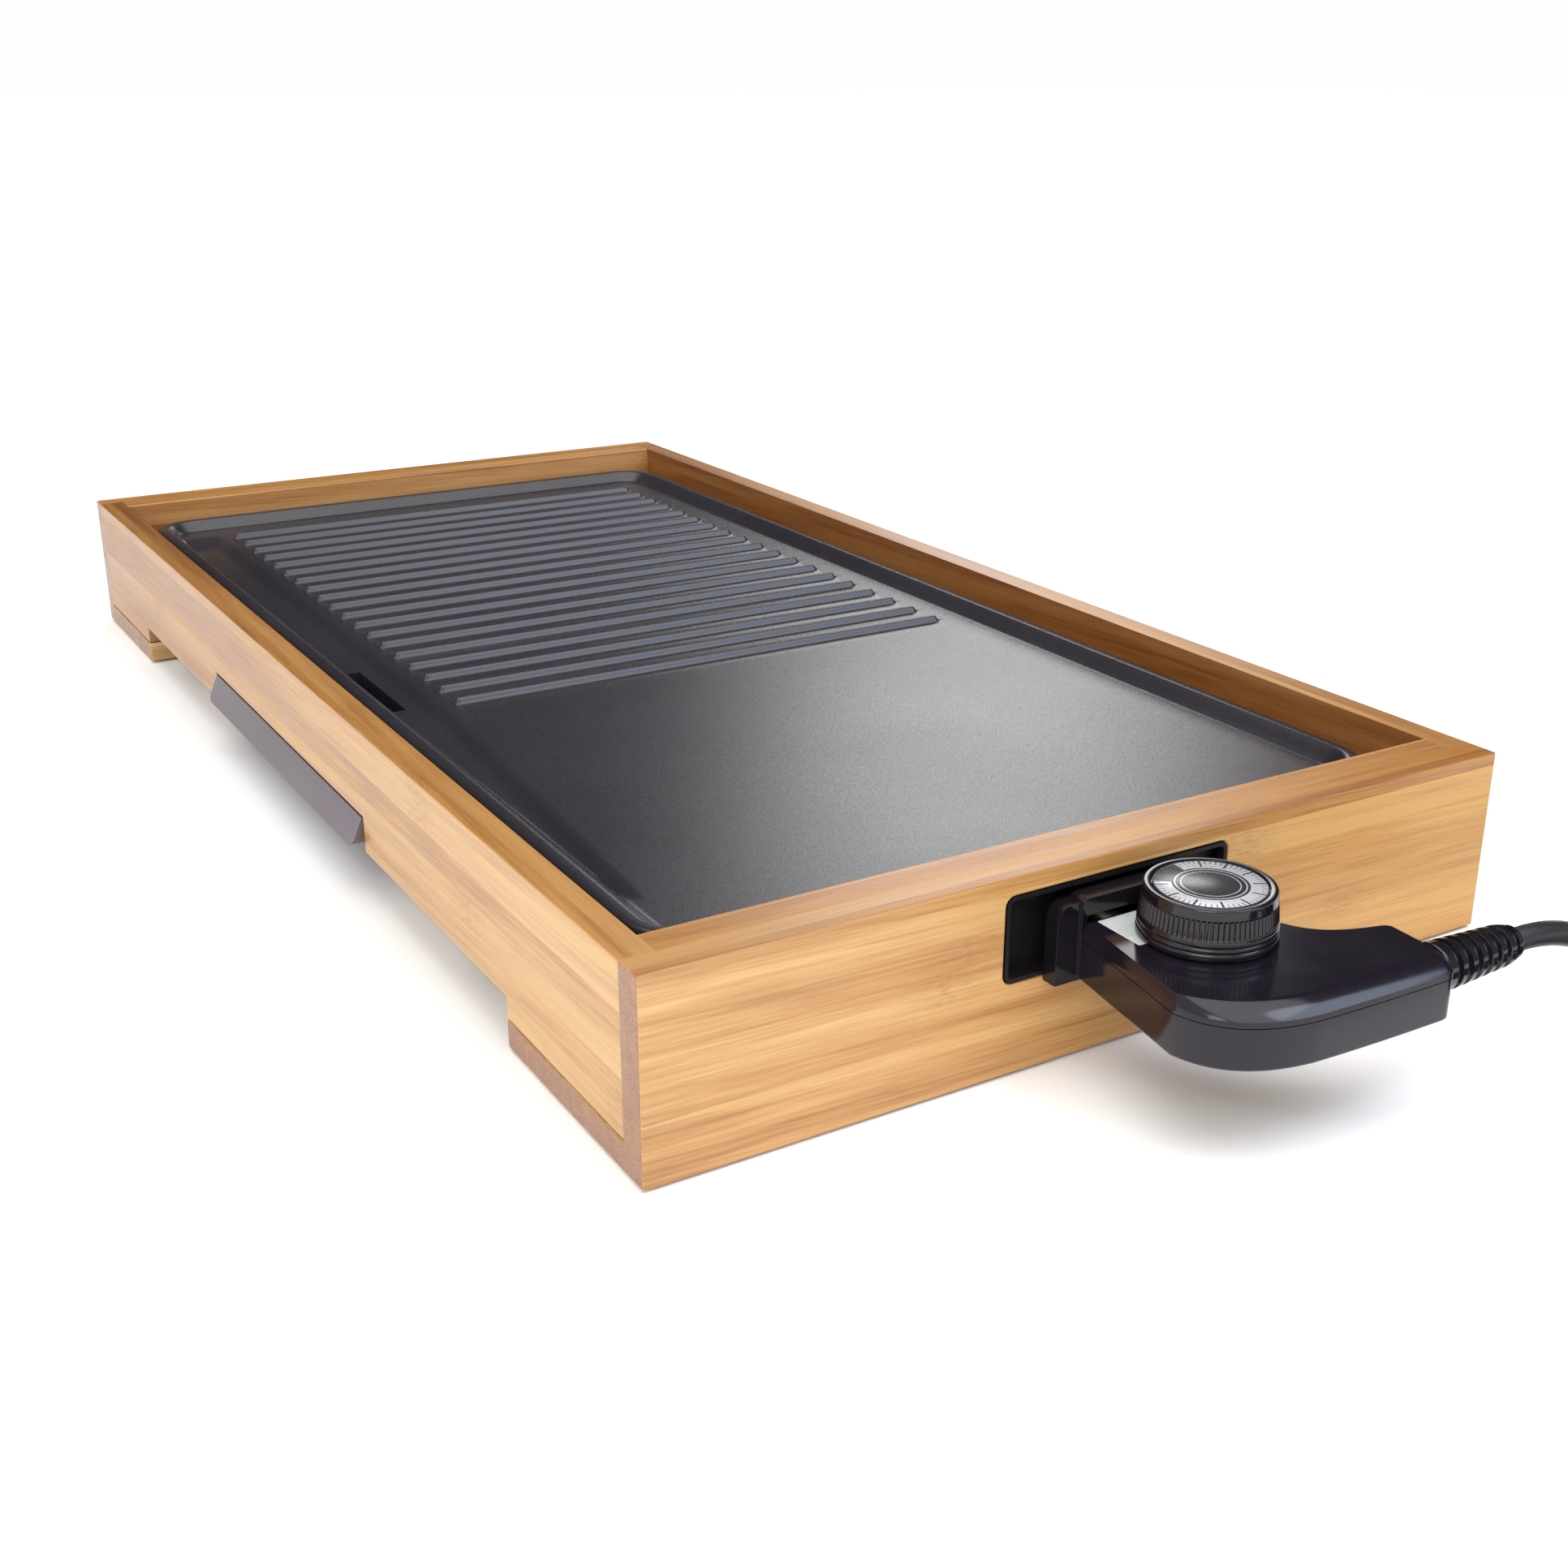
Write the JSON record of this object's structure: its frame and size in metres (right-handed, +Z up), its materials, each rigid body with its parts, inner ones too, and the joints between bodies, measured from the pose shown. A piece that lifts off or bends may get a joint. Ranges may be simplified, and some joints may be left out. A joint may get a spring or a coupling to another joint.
{
  "type": "electric griddle",
  "caption": "Table-top electric griddle: a ribbed and smooth cast plate in a bamboo frame, with a slide-out drip tray and a plug-in temperature controller on a mains lead.",
  "frame": {"origin": "on the table, under the centre of the footprint of the griddle with its controller, tray lip included, cord left out", "axes": "+X along the frame towards the controller, -Y towards the drip tray's side, +Z up"},
  "size_m": [0.7548, 0.3648, 0.0596],
  "materials": {
    "bamboo": "oiled bamboo, satin",
    "plate_coating": "non-stick coating on cast aluminium, satin",
    "tray_enamel": "grey satin paint",
    "zinc_steel": "zinc-plated sheet",
    "heater_steel": "stainless tube, dull",
    "contact_brass": "bright",
    "gloss_black": "high gloss moulding",
    "matt_black": "fine spark-eroded moulding",
    "cord_rubber": "smooth sheath",
    "foot_rubber": "matt",
    "dial_print": "silver print on black",
    "milky_lens": "translucent white",
    "lamp_glass": "clear, neon orange"
  },
  "bodies": {
    "base": {"base_pan": "zinc_steel", "end_board_left": "bamboo", "end_board_right": "bamboo", "foot_plank_left": "bamboo", "foot_plank_right": "bamboo", "griddle_plate": "plate_coating", "heating_element": "heater_steel", "inlet_backplate": "zinc_steel", "inlet_bezel": "matt_black", "inner_board_left": "bamboo", "inner_board_right": "bamboo", "leg_block_back_left": "bamboo", "leg_block_back_right": "bamboo", "leg_block_front_left": "bamboo", "leg_block_front_right": "bamboo", "plate_screw_back_left": "zinc_steel", "plate_screw_back_right": "zinc_steel", "plate_screw_front_left": "zinc_steel", "plate_screw_front_right": "zinc_steel", "probe_sleeve": "heater_steel", "rubber_foot_back_left": "foot_rubber", "rubber_foot_back_right": "foot_rubber", "rubber_foot_front_left": "foot_rubber", "rubber_foot_front_right": "foot_rubber", "side_rail_back": "bamboo", "side_rail_front": "bamboo", "support_bar_left": "zinc_steel", "support_bar_right": "zinc_steel", "terminal_pin_1": "heater_steel", "terminal_pin_2": "heater_steel", "tray_runner_left": "zinc_steel", "tray_runner_right": "zinc_steel"},
    "tray": {"drip_tray": "tray_enamel"},
    "controller": {"controller_lower_shell": "gloss_black", "controller_upper_shell": "gloss_black", "plug_nose": "matt_black", "socket_contact_1": "contact_brass", "socket_contact_2": "contact_brass", "probe_rod": "heater_steel", "thermostat_switch": "matt_black", "indicator_lens": "milky_lens", "indicator_lamp": "lamp_glass", "shell_screw_1": "zinc_steel", "shell_screw_2": "zinc_steel", "strain_relief": "cord_rubber", "cord": "cord_rubber", "cord_tail": "cord_rubber", "cord_coil": "cord_rubber", "cord_tie": "matt_black", "plug_body": "matt_black", "plug_pin_1": "contact_brass", "plug_pin_2": "contact_brass"},
    "knob": {"knob": "gloss_black", "dial_plate": "dial_print", "knob_shaft": "zinc_steel"}
  },
  "joints": [
    {"name": "tray_slide", "type": "slide", "parent": "base", "child": "tray", "axis": [0, -1, 0], "range_m": [0, 0.09]},
    {"name": "controller_unplug", "type": "slide", "parent": "base", "child": "controller", "axis": [1, 0, 0], "range_m": [0, 0.1]},
    {"name": "knob_turn", "type": "hinge", "parent": "controller", "child": "knob", "pos_m": [0.2816, 0.0064, 0.05], "axis": [0, 0, 1], "range_deg": [0, 270]}
  ]
}
